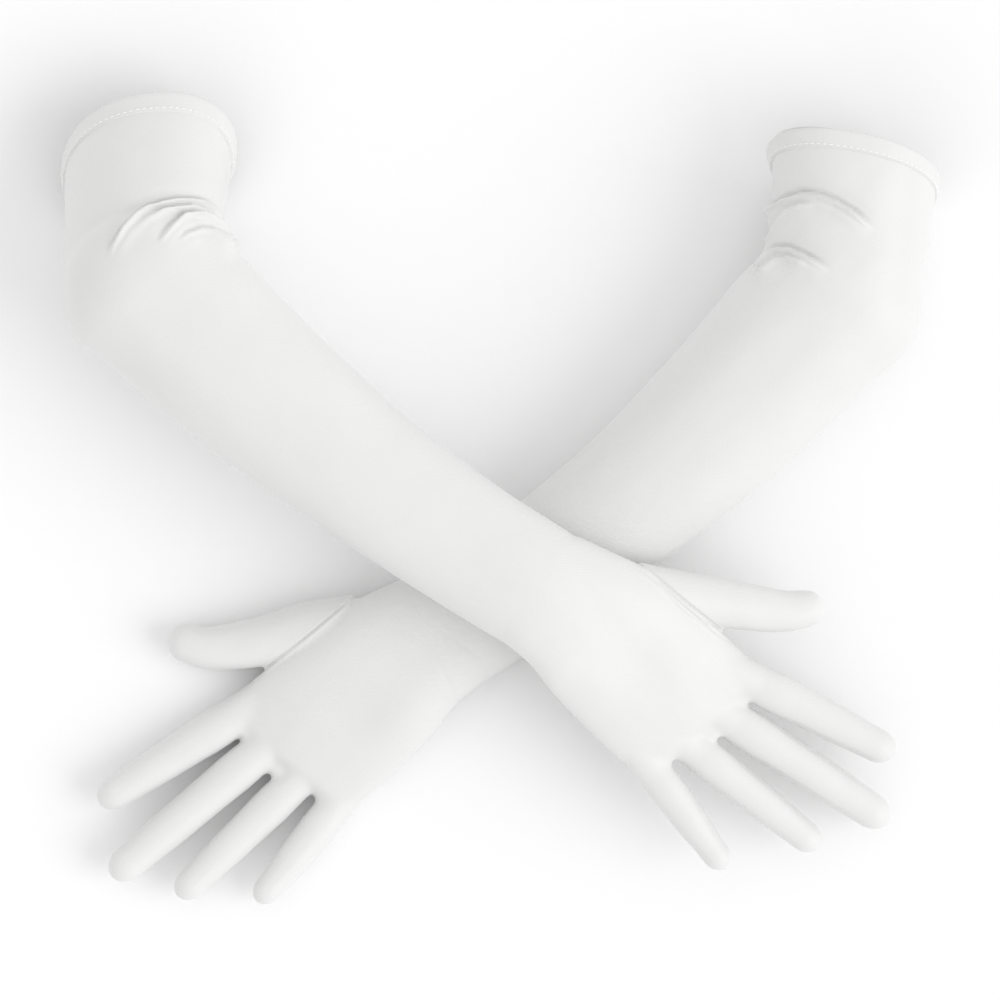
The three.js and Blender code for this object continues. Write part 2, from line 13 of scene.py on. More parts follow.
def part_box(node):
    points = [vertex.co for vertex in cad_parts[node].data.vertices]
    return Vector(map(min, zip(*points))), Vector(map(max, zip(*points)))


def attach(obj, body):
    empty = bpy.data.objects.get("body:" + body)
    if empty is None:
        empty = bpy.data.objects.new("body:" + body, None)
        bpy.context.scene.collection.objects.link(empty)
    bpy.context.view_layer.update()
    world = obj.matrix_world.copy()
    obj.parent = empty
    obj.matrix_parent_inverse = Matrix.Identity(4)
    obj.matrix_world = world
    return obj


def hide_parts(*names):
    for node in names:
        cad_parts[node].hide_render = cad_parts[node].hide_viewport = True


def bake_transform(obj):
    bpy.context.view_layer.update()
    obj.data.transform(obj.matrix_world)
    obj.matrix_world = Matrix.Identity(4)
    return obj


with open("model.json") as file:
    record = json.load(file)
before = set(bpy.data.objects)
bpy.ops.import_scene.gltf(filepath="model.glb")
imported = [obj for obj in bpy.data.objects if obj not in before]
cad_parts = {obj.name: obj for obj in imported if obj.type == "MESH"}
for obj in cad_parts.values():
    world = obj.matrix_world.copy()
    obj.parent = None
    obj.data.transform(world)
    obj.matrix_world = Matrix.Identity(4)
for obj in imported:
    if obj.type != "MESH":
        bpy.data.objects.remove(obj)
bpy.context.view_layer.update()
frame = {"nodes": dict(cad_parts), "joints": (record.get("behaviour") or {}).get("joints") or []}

bl_info = {
    "name": "Opera gloves",
    "version": (1, 0, 0),
    "blender": (4, 5, 0),
    "location": "View3D > Sidebar > Gloves",
    "description": "Builds the cloth of a pair of opera gloves around their packed frame",
    "category": "Object",
}

MM = 0.001
UP = np.array([0.0, 0.0, 1.0])
SIDES = ("left", "right")
FINGERS = ("index", "middle", "ring", "little")
JOINTS = {joint["name"]: joint for joint in frame["joints"]}

# Which way the thumb points, seen along the arm from elbow to hand: 1 is left and -1 is right.
THUMB_SIDE = {"left": 1.0, "right": -1.0}

# Half width and half thickness in mm, at shares of the way from elbow to wrist.
FOREARM_GIRTHS = (
    (0.0, 42.0, 38.0),
    (0.12, 41.8, 37.0),
    (0.26, 39.9, 35.3),
    (0.41, 37.6, 33.0),
    (0.56, 34.9, 29.5),
    (0.70, 33.3, 26.0),
    (0.86, 32.4, 22.4),
    (1.0, 31.9, 20.0),
)
# The same, at mm past the wrist, with how far the middle lies towards the thumb.
HAND_GIRTHS = (
    (0.0, 31.9, 20.0, 0.0),
    (18.0, 34.4, 19.0, 2.4),
    (38.0, 38.6, 17.8, 3.4),
    (60.0, 40.2, 16.2, 2.0),
    (82.0, 41.0, 13.8, 0.6),
    (103.0, 40.2, 11.0, 0.0),
)
# Half width and half thickness in mm of the sleeve above the elbow, at shares from hem to elbow.
SLEEVE_SHARES = (0, 0.4, 0.7, 1)
SLEEVE_WIDTHS = (42.2, 40.6, 40.4, 42.0)
SLEEVE_THICKNESSES = (39.6, 38.2, 37.8, 38.0)
# How far the middle of a forearm or sleeve bows away from the thumb's side, in mm.
FOREARM_BOW = {"left": 8.0, "right": 11.0}
SLEEVE_BOW = 1.8
# How far the tip of the elbow lies towards the hand, in mm.
ELBOW_TIP = {"left": 5, "right": 11}
# How high the tip of the elbow stands out, and its size, in mm.
ELBOW_BUMP = (4.6, 15)
ARM_POWER = 2.2
HAND_POWER = 2.35

# Half widths in mm at the root and where the tip starts to round.
FINGER_WIDTHS = {"index": (10.4, 8.4), "middle": (10.5, 8.8), "ring": (9.9, 7.8), "little": (9.3, 7.0)}
FINGER_FLATNESS = 0.93
# The middle of each web between two fingers, in mm past the knuckle line and towards the thumb.
WEBS = ((18.6, 22.0), (18.9, -1.2), (8.4, -23.9))
HAND_LENGTH = 98.5
KNUCKLE_SLANT = math.radians(9)
# Shares along a finger, for its narrowing towards the tip.
FINGER_SHARES = (0, 0.3, 0.62, 0.85, 1)
# The upper glove's wrist is kept up on the other glove: height in mm, how far past the wrist, how widely.
WRIST_REST = (3.0, 15, 36)
# Along the hand and out from its side, from the middle of the thumb's seam, with half widths, in mm.
THUMB_LINES = {
    "left": (
        (-22, -12, 14.5), (0, 1, 13.2), (16, 11, 12.2),
        (31, 20, 11.5), (44, 29, 10.5), (50.2, 35.9, 9.4),
    ),
    "right": (
        (-24, -12, 16.0), (-2, 2, 14.4), (14, 9.8, 12.8),
        (29, 18, 11.8), (42, 27, 10.8), (48.3, 35.4, 9.7),
    ),
}
# How far a thumb's rounded end reaches past its line, against its half width.
THUMB_END = 0.95
THUMB_FLATNESS = 0.92
# How far the left thumb's middle lies below its seam, in mm, and how the right thumb falls along the hand.
THUMB_DROP = {"left": 1.6, "right": 0.0}
RIGHT_THUMB_FALL = -0.03
# Raised lines beside the thumb's seam: mm into the hand, and the height against the seam's depth.
PIPING = {"left": ((1.5, 1.9), (3.9, 1.4)), "right": ((1.5, 1.2),)}

# Crests of the folds inside each elbow, from the outside in: mm from the elbow's middle, after the height.
FOLDS = {
    "left": (
        (3.3, ((-21, 12), (-17.5, 19), (-12, 27), (-6, 33.5), (0, 37.8), (6.5, 40.5), (13.5, 42),
               (20.8, 42.3), (25.5, 41.8), (29.7, 40.5), (33.5, 37.5), (36, 33.4), (38.5, 27.5), (41, 24))),
        (2.2, ((-8, 25), (-1, 31.5), (6.5, 35.3), (13.5, 37.8), (21.5, 38.8), (27.5, 37.3), (32, 34),
               (36, 28.5), (40, 24))),
        (2.6, ((4, 20), (6.5, 22.7), (11.5, 28.5), (17, 33.5), (22, 35), (26, 35.2), (30, 33.3), (33.3, 29.8),
               (36.5, 25), (40, 21.5))),
        (1.4, ((13, 20), (19, 25), (26, 27.5), (31, 26), (36, 21.5), (39, 19))),
    ),
    "right": (
        (3.1, ((17, 29), (6.4, 37.9), (-2.5, 43.2), (-10.6, 46.4), (-19.5, 47.3), (-27.5, 45), (-34, 41),
               (-40, 35))),
        (1.5, ((-12, 42), (-19.5, 42), (-26.7, 39.2), (-31.5, 33.5), (-36, 26))),
        (2.8, ((-5, 8.5), (-11.5, 12.9), (-19.5, 17.3), (-26.7, 20.5), (-32, 20.5), (-36.5, 17), (-40, 13))),
        (1.3, ((-15, 12), (-19.5, 14), (-25.8, 16), (-32, 15), (-38, 10))),
    ),
}

# Two skew directions that the knit is laid out along.
CLOTH_WAYS = ((1.0, 0.5, 0.7), (-0.5, 1.0, 0.6))
# A fold higher than this fades in over less of its length.
MAIN_FOLD = 3
# Mounds and hollows of the palm: height in mm, mm past the wrist, mm towards the thumb, and size.
PALM_FORMS = ((1.8, 44, 24, 20), (1.3, 46, -24, 20), (-1.6, 62, 0, 17), (0.9, 96, 2, 14))
# Creases across the right wrist: mm past the wrist, how they lean, and depth in mm.
WRIST_CREASES = ((4, 0.3, 0.5), (13, -0.25, 0.4), (24, 0.4, 0.35))
# Half the width of the strips between the fingers, in mm.
STRIP_HALF = 4.2
# Half the length of the thumb's seam, in mm.
SEAM_HALF = 29


# ---- sizes and looks that a user would change ----


class GloveSizes(bpy.types.PropertyGroup):
    skin_step: FloatProperty(
        name="Skin step", description="Size of the skin's faces", default=0.0012, unit="LENGTH"
    )
    hem_slant: FloatProperty(
        name="Hem slant", description="How much longer the palm's side is",
        default=math.radians(21), subtype="ANGLE",
    )
    hem_turn: FloatProperty(
        name="Hem turn", description="How much longer the thumb's side is",
        default=math.radians(10), subtype="ANGLE",
    )
    hem_lip: FloatProperty(
        name="Hem lip", description="How far the hem's edge turns out", default=0.0016, unit="LENGTH"
    )
    hem_depth: FloatProperty(
        name="Hem depth", description="Depth of the turned hem", default=0.0072, unit="LENGTH"
    )
    hem_rise: FloatProperty(
        name="Hem rise", description="How far the hem stands out", default=0.0008, unit="LENGTH"
    )
    stitch_length: FloatProperty(
        name="Stitch", description="Length of one stitch", default=0.0021, unit="LENGTH"
    )
    stitch_gap: FloatProperty(
        name="Stitch gap", description="Gap between stitches", default=0.0012, unit="LENGTH"
    )
    stitch_radius: FloatProperty(
        name="Thread radius", description="Half of the thread", default=0.0003, unit="LENGTH"
    )
    seam_depth: FloatProperty(
        name="Seam depth", description="How far a seam pulls in", default=0.0004, unit="LENGTH"
    )
    slackness: FloatProperty(
        name="Slackness", description="Height of the loose waves", default=0.0004, unit="LENGTH"
    )


class ClothLook(bpy.types.PropertyGroup):
    colour: FloatVectorProperty(
        name="Cloth", description="Colour of the satin",
        size=3, subtype="COLOR", default=(0.79, 0.79, 0.785),
    )
    thread: FloatVectorProperty(
        name="Thread", description="Colour of the stitches",
        size=3, subtype="COLOR", default=(0.90, 0.90, 0.895),
    )
    roughness: FloatProperty(
        name="Roughness", description="Roughness of the satin", default=0.40, subtype="FACTOR"
    )
    sheen: FloatProperty(
        name="Sheen", description="Soft glow at grazing angles", default=0.08, subtype="FACTOR"
    )
    rib: FloatProperty(
        name="Knit rib", description="Distance between the knit's ribs", default=0.0007, unit="LENGTH"
    )


def placed(mesh):
    """A mesh as an object of the scene."""
    obj = bpy.data.objects.new(mesh.name, mesh)
    bpy.context.scene.collection.objects.link(obj)
    return obj


# ---- curves ----


def unit(v):
    """v at length 1."""
    return np.asarray(v, float) / np.linalg.norm(v)


def spline(knots, values, at):
    """Smooth values between knots, as a cubic through every one of them."""
    knots = np.asarray(knots, float)
    values = np.asarray(values, float)
    at = np.asarray(at, float)
    slopes = np.gradient(values, knots, axis=0)
    i = np.clip(np.searchsorted(knots, at) - 1, 0, len(knots) - 2)
    step = knots[i + 1] - knots[i]
    x = (at - knots[i]) / step
    if values.ndim > 1:
        x, step = x[:, None], step[:, None]
    a = (1 + 2 * x) * (1 - x) ** 2 * values[i]
    b = x * (1 - x) ** 2 * step * slopes[i]
    c = x**2 * (3 - 2 * x) * values[i + 1]
    d = x**2 * (x - 1) * step * slopes[i + 1]
    return a + b + c + d


def super_ellipse(angle, power):
    """Across and up at an angle round an ellipse: a power above 2 makes it fuller."""
    c, s = np.cos(angle), np.sin(angle)
    return np.sign(c) * np.abs(c) ** (2 / power), np.sign(s) * np.abs(s) ** (2 / power)


def near_line(points, line):
    """Distance to a line of points, the share along it, and on which side of it each point lies."""
    best = np.full(len(points), 1e9)
    share = np.zeros(len(points))
    side = np.ones(len(points))
    for k in range(len(line) - 1):
        a, b = line[k], line[k + 1]
        d = b - a
        t = np.clip(((points - a) @ d) / (d @ d), 0, 1)
        away = points - (a + t[:, None] * d)
        distance = np.linalg.norm(away, axis=1)
        closer = distance < best
        best[closer] = distance[closer]
        share[closer] = ((k + t) / (len(line) - 1))[closer]
        side[closer] = np.sign(d[0] * away[:, 1] - d[1] * away[:, 0])[closer]
    return best, share, side


# ---- where each glove lies, from the frame ----


def eased(distance):
    """0 before a bend and the distance itself after it, with the bend spread over 25 mm each way."""
    half = 25 * MM
    near = np.clip(distance, -half, half)
    return (near + half) ** 2 / (4 * half) + np.maximum(distance - half, 0)


class Lines:
    """The middle lines of one glove, in metres in the frame's own axes."""

    def __init__(self, name):
        self.name = name
        self.thumb_side = THUMB_SIDE[name]
        self.elbow = np.array(JOINTS[f"{name}_elbow"]["pos_m"])
        self.wrist = np.array(JOINTS[f"{name}_wrist"]["pos_m"])
        low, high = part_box(f"{name}_hem_band")
        self.hem = (np.array(low) + np.array(high)) / 2
        self.fingers = {f: self.finger(f) for f in FINGERS}
        roots = np.mean([self.fingers[f][0] for f in FINGERS], axis=0)
        self.slope = (roots[2] - self.wrist[2]) / np.linalg.norm((roots - self.wrist)[:2])
        thumb = JOINTS[f"{name}_thumb_curl"]
        self.thumb_root = np.array(thumb["pos_m"])
        self.aside = unit(np.cross(UP, thumb["axis"]))
        self.forward = unit(np.cross(self.aside, UP)) * self.thumb_side

    def finger(self, finger):
        joint = JOINTS[f"{self.name}_{finger}_curl"]
        root = np.array(joint["pos_m"])
        ahead = unit(np.cross(UP, joint["axis"]))
        vertices = frame["nodes"][f"{self.name}_{finger}_palm_panel"].data.vertices
        points = np.array([v.co for v in vertices])
        reach = (points @ ahead).max() - root @ ahead
        far = points[(points @ ahead) > (points @ ahead).max() - 1 * MM]
        tip = root + ahead * reach
        tip[2] = far[:, 2].min()
        return root, tip

    def past_wrist(self, distance):
        """How the left glove bends down past its wrist, kept up where it rests on the other glove."""
        height, where, reach = WRIST_REST
        return self.slope * eased(distance) + height * MM * np.exp(-(((distance / MM - where) / reach) ** 2))

    def forearm_at(self, share):
        share = np.atleast_1d(share)
        line = self.elbow + (self.wrist - self.elbow) * share[:, None]
        ahead = unit((self.wrist - self.elbow) * [1, 1, 0])
        thumbward = np.cross(UP, ahead) * self.thumb_side
        line = line - thumbward * (4 * FOREARM_BOW[self.name] * MM * share * (1 - share))[:, None]
        if self.name == "left":
            rise = np.clip(share / 0.84, 0, 1)
            line[:, 2] = self.elbow[2] + (self.wrist[2] - self.elbow[2]) * rise**2 * (3 - 2 * rise)
            length = np.linalg.norm((self.wrist - self.elbow)[:2])
            line[:, 2] += self.past_wrist((share - 1) * length)
        else:
            thickness = spline(*np.array(FOREARM_GIRTHS)[:, [0, 2]].T, share) * MM
            start = self.elbow[2] - FOREARM_GIRTHS[0][2] * MM
            line[:, 2] = thickness + start * np.clip(1 - share / 0.4, 0, 1)
        return line


# ---- shells ----


def rings_along(points, widths, heights, tilts=None, standing=True):
    """Rings along a line of points. Standing ones keep upright unless tilted; others follow the line."""
    ahead = np.gradient(points, axis=0)
    ahead /= np.linalg.norm(ahead, axis=1)[:, None]
    sideways = np.cross(UP, ahead)
    sideways /= np.linalg.norm(sideways, axis=1)[:, None]
    ups = np.cross(ahead, sideways)
    if standing:
        tilts = np.zeros(len(points)) if tilts is None else tilts
        level = np.cross(sideways, UP)
        ups = UP * np.cos(tilts)[:, None] - level * np.sin(tilts)[:, None]
    return {"p": points, "ahead": ahead, "side": sideways, "up": ups, "w": widths, "t": heights}


def round_off(rings, reach):
    """Adds a rounded last end to a row of rings."""
    a = np.linspace(0.12, 1, 12) * math.pi / 2
    more = {
        "p": rings["p"][-1] + rings["ahead"][-1] * (reach * np.sin(a))[:, None],
        "w": rings["w"][-1] * np.maximum(np.cos(a), 0.03),
        "t": rings["t"][-1] * np.maximum(np.cos(a), 0.03),
    }
    out = {}
    for key, value in rings.items():
        out[key] = np.concatenate([value, more.get(key, np.repeat(value[-1:], len(a), axis=0))])
    return out


def ring_faces(rows, around):
    """Faces between rows of points, each row closed round."""
    faces = []
    for i in range(rows - 1):
        for j in range(around):
            k = (j + 1) % around
            faces.append((i * around + j, i * around + k, (i + 1) * around + k, (i + 1) * around + j))
    return faces


def shell(rings, power, around=96):
    """A closed surface over a row of rings."""
    angle = np.arange(around) / around * 2 * math.pi
    c, s = super_ellipse(angle, power)
    points = (
        rings["p"][:, None]
        + rings["side"][:, None] * (rings["w"][:, None] * c)[..., None]
        + rings["up"][:, None] * (rings["t"][:, None] * s)[..., None]
    )
    count = len(rings["p"])
    vertices = np.concatenate([points.reshape(-1, 3), rings["p"][:1], rings["p"][-1:]])
    faces = ring_faces(count, around)
    first, last = count * around, count * around + 1
    for j in range(around):
        k = (j + 1) % around
        faces.append((first, k, j))
        faces.append((last, (count - 1) * around + j, (count - 1) * around + k))
    return vertices, faces


def pivot_shell(centre, w, t, power, around=96, steps=40):
    """The rounded end of a limb: its own section turned about the upright line through centre."""
    angle = np.linspace(-math.pi / 2, math.pi / 2, steps)
    r, z = super_ellipse(angle, power)
    turn = np.arange(around) / around * 2 * math.pi
    ring = np.stack([np.cos(turn), np.sin(turn), np.zeros(around)], axis=1)
    rings = centre + ring[None] * (r * w)[:, None, None] + UP * (z * t)[:, None, None]
    vertices = rings.reshape(-1, 3)
    faces = ring_faces(steps, around)
    faces.append(tuple(range(around))[::-1])
    faces.append(tuple((steps - 1) * around + j for j in range(around)))
    return vertices, faces


def upper_rings(lines, count=40, beyond=0.0):
    """The sleeve above the elbow, from the hem inwards. beyond lengthens it past the hem."""
    sizes = bpy.context.scene.glove_sizes
    share = np.linspace(0, 1, count)
    points = lines.hem + (lines.elbow - lines.hem) * share[:, None]
    thumbward = unit(np.cross(UP, lines.elbow - lines.hem)) * lines.thumb_side
    points = points - thumbward * (4 * SLEEVE_BOW * MM * share * (1 - share))[:, None]
    fall = math.atan2(lines.elbow[2] - lines.hem[2], np.linalg.norm((lines.elbow - lines.hem)[:2]))
    tilt = (sizes.hem_slant + fall) * (1 - share)
    w = spline(SLEEVE_SHARES, SLEEVE_WIDTHS, share) * MM
    t = spline(SLEEVE_SHARES, SLEEVE_THICKNESSES, share) * MM
    rings = rings_along(points, w, t, tilt)
    turn = (sizes.hem_turn * lines.thumb_side * (1 - share))[:, None]
    level = np.cross(rings["side"], UP)
    rings["side"] = rings["side"] * np.cos(turn) - level * np.sin(turn)
    if beyond:
        first = {key: value[:1].copy() for key, value in rings.items()}
        first["p"] = first["p"] - first["ahead"] * beyond
        rings = {key: np.concatenate([first[key], rings[key]]) for key in rings}
    return rings


def forearm_rings(lines, count=90):
    share = np.linspace(0, 1, count)
    girths = np.array(FOREARM_GIRTHS)
    w = spline(girths[:, 0], girths[:, 1], share) * MM
    t = spline(girths[:, 0], girths[:, 2], share) * MM
    return rings_along(lines.forearm_at(share), w, t)


def hand_rings(lines, count=60):
    along = np.linspace(-15, HAND_GIRTHS[-1][0], count)
    girths = np.array(HAND_GIRTHS)
    w, t, shift = (spline(girths[:, 0], girths[:, k], np.maximum(along, 0)) * MM for k in (1, 2, 3))
    w = w * (1 - 0.12 * np.clip(-along / 15, 0, 1))
    points = lines.wrist + lines.forward * (along * MM)[:, None] + lines.aside * shift[:, None]
    if lines.name == "left":
        points[:, 2] = lines.wrist[2] + lines.past_wrist(along * MM)
    else:
        points[:, 2] = t + 0.2 * MM
    rings = rings_along(points, w, t)
    # The knuckles run aslant: the hand is longer on the thumb's side.
    turn = (KNUCKLE_SLANT * lines.thumb_side * np.clip((along - 55) / 48, 0, 1) ** 2)[:, None]
    rings["side"] = rings["side"] * np.cos(turn) + rings["ahead"] * np.sin(turn)
    return round_off(rings, 8 * MM)


def finger_rings(lines, finger, behind=26 * MM):
    root, tip = lines.fingers[finger]
    wide, narrow = (v * MM for v in FINGER_WIDTHS[finger])
    ahead = unit((tip - root) * [1, 1, 0])
    reach = np.linalg.norm((tip - root)[:2])
    fall = (tip[2] + narrow * FINGER_FLATNESS - root[2]) / reach
    start, end = -behind, reach - narrow * 1.25
    along = np.linspace(start, end, 60)
    x = np.clip(along / end, 0, 1)
    girths = (wide * 0.95, wide * 0.985, (wide + narrow) / 2, narrow * 1.06, narrow)
    w = spline(FINGER_SHARES, girths, x)
    w = w * (1 + 0.018 * np.sin(x * 4 * math.pi))
    points = root + ahead * along[:, None]
    points[:, 2] = root[2] + np.where(along > 0, fall, lines.slope if lines.name == "left" else 0) * along
    if lines.name == "right":
        points[:, 2] = np.maximum(points[:, 2], w * FINGER_FLATNESS)
    return round_off(rings_along(points, w, w * FINGER_FLATNESS, standing=False), narrow * 1.25)


def thumb_rings(lines):
    line = np.array(THUMB_LINES[lines.name], float)
    steps = np.linalg.norm(np.diff(line[:, :2], axis=0), axis=1)
    length = np.concatenate([[0], np.cumsum(steps)])
    at = np.linspace(0, length[-1], 60)
    f, a, w = (spline(length, line[:, i], at) * MM for i in range(3))
    points = lines.thumb_root + lines.forward * f[:, None] + lines.aside * a[:, None]
    start = lines.thumb_root[2] - THUMB_DROP[lines.name] * MM
    points[:, 2] = start + (lines.slope if lines.name == "left" else RIGHT_THUMB_FALL) * f
    return round_off(rings_along(points, w, w * THUMB_FLATNESS, standing=False), w[-1] * THUMB_END)


def web_rings(lines, forward, aside):
    middle = lines.wrist + lines.forward * (HAND_LENGTH + forward) * MM + lines.aside * aside * MM
    along = np.linspace(-24, -3.6, 20) * MM
    points = middle + lines.forward * along[:, None]
    if lines.name == "left":
        points[:, 2] = lines.wrist[2] + lines.slope * HAND_LENGTH * MM + lines.slope * (along + forward * MM)
    else:
        points[:, 2] = lines.fingers["ring"][0][2]
    w = np.full(20, 4.0 * MM)
    return round_off(rings_along(points, w, w * 1.6, standing=False), 3.0 * MM)


def limb_shells(lines):
    """Every overlapping limb of one glove."""
    yield shell(upper_rings(lines, beyond=9 * MM), ARM_POWER)
    yield shell(forearm_rings(lines), ARM_POWER)
    yield shell(hand_rings(lines), HAND_POWER)
    yield pivot_shell(lines.elbow, SLEEVE_WIDTHS[-1] * MM, SLEEVE_THICKNESSES[-1] * MM, ARM_POWER)
    for finger in FINGERS:
        yield shell(finger_rings(lines, finger), 2.1, around=48)
    yield shell(thumb_rings(lines), 2.1, around=48)
    for forward, aside in WEBS:
        yield shell(web_rings(lines, forward, aside), 2.0, around=32)


def joined(parts):
    vertices, faces, offset = [], [], 0
    for v, f in parts:
        vertices.append(v)
        faces.extend([tuple(i + offset for i in face) for face in f])
        offset += len(v)
    return np.concatenate(vertices), faces


# ---- one continuous skin for each glove ----


def smoothed(points, edges, rounds, weight=1.0, back=0.54):
    """Evens out the surface: a step in and a step back out each round, so that it hardly shrinks."""
    count = len(points)
    left, right = np.concatenate([edges, edges[:, ::-1]]).T
    share = 1 / np.maximum(np.bincount(left, minlength=count), 1)
    weight = np.broadcast_to(weight, count)[:, None]
    for _ in range(rounds):
        for factor in (0.52, -back):
            mean = np.stack([np.bincount(left, points[right, k], count) * share for k in range(3)], axis=1)
            points = points + (mean - points) * factor * weight
    return points


def read(items, name, width=1, kind=float):
    """One property of every item, as an array."""
    out = np.empty(len(items) * width, kind)
    items.foreach_get(name, out)
    return out.reshape(-1, width) if width > 1 else out


def write_points(mesh, points):
    mesh.vertices.foreach_set("co", points.ravel())
    mesh.update()


def remeshed(vertices, faces, step):
    """One closed skin round all the overlapping shells."""
    mesh = bpy.data.meshes.new("limbs")
    mesh.from_pydata(vertices.tolist(), [], faces)
    holder = placed(mesh)
    modifier = holder.modifiers.new("skin", "REMESH")
    modifier.mode = "VOXEL"
    modifier.voxel_size = step
    evaluated = holder.evaluated_get(bpy.context.evaluated_depsgraph_get())
    skin = bpy.data.meshes.new_from_object(evaluated)
    bpy.data.objects.remove(holder)
    bpy.data.meshes.remove(mesh)
    return skin


def cut_open(mesh, lines):
    """Opens the sleeve at the hem."""
    rings = upper_rings(lines, count=3)
    normal = unit(np.cross(rings["side"][0], rings["up"][0]))
    if normal @ (lines.elbow - lines.hem) > 0:
        normal = -normal
    bm = bmesh.new()
    bm.from_mesh(mesh)
    everything = list(bm.verts) + list(bm.edges) + list(bm.faces)
    bmesh.ops.bisect_plane(
        bm, geom=everything, plane_co=Vector(rings["p"][0]), plane_no=Vector(normal), clear_outer=True
    )
    bm.to_mesh(mesh)
    bm.free()


def refine(mesh, chosen):
    """Smaller faces where a fold or a seam needs them."""
    near = chosen(read(mesh.vertices, "co", 3))
    bm = bmesh.new()
    bm.from_mesh(mesh)
    edges = [e for e in bm.edges if near[e.verts[0].index]]
    bmesh.ops.subdivide_edges(bm, edges=edges, cuts=1, use_grid_fill=True)
    bmesh.ops.triangulate(bm, faces=[f for f in bm.faces if len(f.verts) > 4])
    bm.to_mesh(mesh)
    bm.free()


class Skin:
    """The whole cloth of one glove: its points, faces, normals, cloth directions and panels."""

    def __init__(self, name):
        self.lines = Lines(name)
        sizes = bpy.context.scene.glove_sizes
        vertices, faces = joined(limb_shells(self.lines))
        mesh = remeshed(vertices, faces, sizes.skin_step)
        edges = read(mesh.edges, "vertices", 2, np.int64)
        points = smoothed(read(mesh.vertices, "co", 3), edges, 14)
        ahead = (points - self.lines.wrist) @ self.lines.forward / MM
        roots = np.exp(-(((ahead - 103) / 18) ** 4))
        points = smoothed(points, edges, 34, roots, back=0.34)
        for centre, reach, rounds in ((self.lines.elbow, 34, 40), (self.lines.wrist, 40, 90)):
            away = np.linalg.norm((points - centre)[:, :2], axis=1) / MM
            points = smoothed(points, edges, rounds, np.exp(-((away / reach) ** 4)), back=0.45)
        write_points(mesh, points)
        cut_open(mesh, self.lines)
        refine(mesh, lambda points: np.linalg.norm(points - self.lines.elbow, axis=1) < 58 * MM)
        for half in (6, 3.5):
            refine(mesh, lambda points, half=half: self.near_thumb_seam(points, half))
        self.mesh = mesh
        self.points = read(mesh.vertices, "co", 3)
        self.normals = read(mesh.vertex_normals, "vector", 3)
        self.locate()
        self.shape()
        write_points(mesh, self.points)
        self.normals = read(mesh.vertex_normals, "vector", 3)

    def near_thumb_seam(self, points, half):
        """True within half mm of the thumb's seam and its raised lines."""
        rel = (points - self.lines.thumb_root) / MM
        across, beside = rel @ self.lines.aside, rel @ self.lines.forward
        return (np.abs(across + 1) < half) & (np.abs(beside) < SEAM_HALF + 4)

    def locate(self):
        """Which limb each point is on, and how far along, across and above the middle of it."""
        p, lines = self.points, self.lines
        hand = p - lines.wrist
        self.forward = hand @ lines.forward
        self.aside = hand @ lines.aside
        count = len(p)
        self.limb = np.full(count, "hand", dtype="<U8")
        self.along = self.forward.copy()
        self.across = self.aside.copy()
        hand_line = lines.wrist[2] + lines.past_wrist(self.forward)
        thin = spline(*np.array(HAND_GIRTHS)[:, [0, 2]].T, np.clip(self.forward / MM, 0, 103)) * MM
        self.above = p[:, 2] - (hand_line if lines.name == "left" else thin)

        ahead = unit((lines.wrist - lines.elbow) * [1, 1, 0])
        length = np.linalg.norm((lines.wrist - lines.elbow)[:2])
        arm = p - lines.elbow
        along_arm = arm @ ahead
        on_arm = along_arm < length - 1 * MM
        share = np.clip(along_arm / length, 0, 1)
        middle = lines.forearm_at(share)
        self.limb[on_arm] = "forearm"
        self.along[on_arm] = (along_arm - length)[on_arm]
        thumbward = np.cross(UP, ahead) * lines.thumb_side
        self.across[on_arm] = ((p - middle) @ thumbward)[on_arm]
        self.above[on_arm] = (p - middle)[on_arm][:, 2]

        out = unit(lines.hem - lines.elbow)
        bisector = unit(unit(out * [1, 1, 0]) - ahead)
        on_sleeve = (arm @ bisector > 0) & (along_arm < 0.5 * length)
        self.limb[on_sleeve] = "sleeve"
        self.across[on_sleeve] = (arm @ np.cross(UP, -unit(out * [1, 1, 0])) * lines.thumb_side)[on_sleeve]
        self.along[on_sleeve] = (-arm @ out - length)[on_sleeve]
        line_z = lines.elbow[2] + (arm @ out) * out[2]
        self.above[on_sleeve] = (p[:, 2] - line_z)[on_sleeve]

        lateral_best = np.full(count, 1e9)
        for finger in FINGERS:
            root, tip = lines.fingers[finger]
            way = unit((tip - root) * [1, 1, 0])
            d = p - root
            s = d @ way
            thumbward = np.cross(UP, way) * lines.thumb_side
            lateral = d @ thumbward
            nearer = (self.forward > 60 * MM) & (np.abs(lateral) < lateral_best) & (s > -14 * MM)
            lateral_best[nearer] = np.abs(lateral)[nearer]
            on = nearer & (s > 0)
            off = nearer & (s <= 0)
            self.limb[off] = "hand"
            self.limb[on] = finger
            reach = np.linalg.norm((tip - root)[:2])
            fall = (tip[2] + FINGER_WIDTHS[finger][1] * FINGER_FLATNESS * MM - root[2]) / reach
            self.along[on] = s[on]
            self.across[on] = lateral[on]
            line_z = root[2] + fall * s
            if lines.name == "right":
                line_z = np.full(count, FINGER_WIDTHS[finger][1] * FINGER_FLATNESS * MM)
            self.above[on] = (p[:, 2] - line_z)[on]
        d = p - lines.thumb_root
        out, ahead_hand = d @ lines.aside, d @ lines.forward
        thumb = (out > 0) & (np.abs(ahead_hand - 18 * MM) < 50 * MM) & (self.forward < 118 * MM)
        index_root, index_tip = lines.fingers["index"]
        way = unit((index_tip - index_root) * [1, 1, 0])
        beside = (p - index_root) @ (np.cross(UP, way) * lines.thumb_side)
        thumb &= ~((self.limb == "index") & (np.abs(beside) < 14 * MM))
        self.limb[thumb] = "thumb"
        self.along[thumb] = out[thumb]
        self.across[thumb] = ahead_hand[thumb]
        fall = lines.slope if lines.name == "left" else RIGHT_THUMB_FALL
        self.above[thumb] = (d[:, 2] - fall * ahead_hand)[thumb]

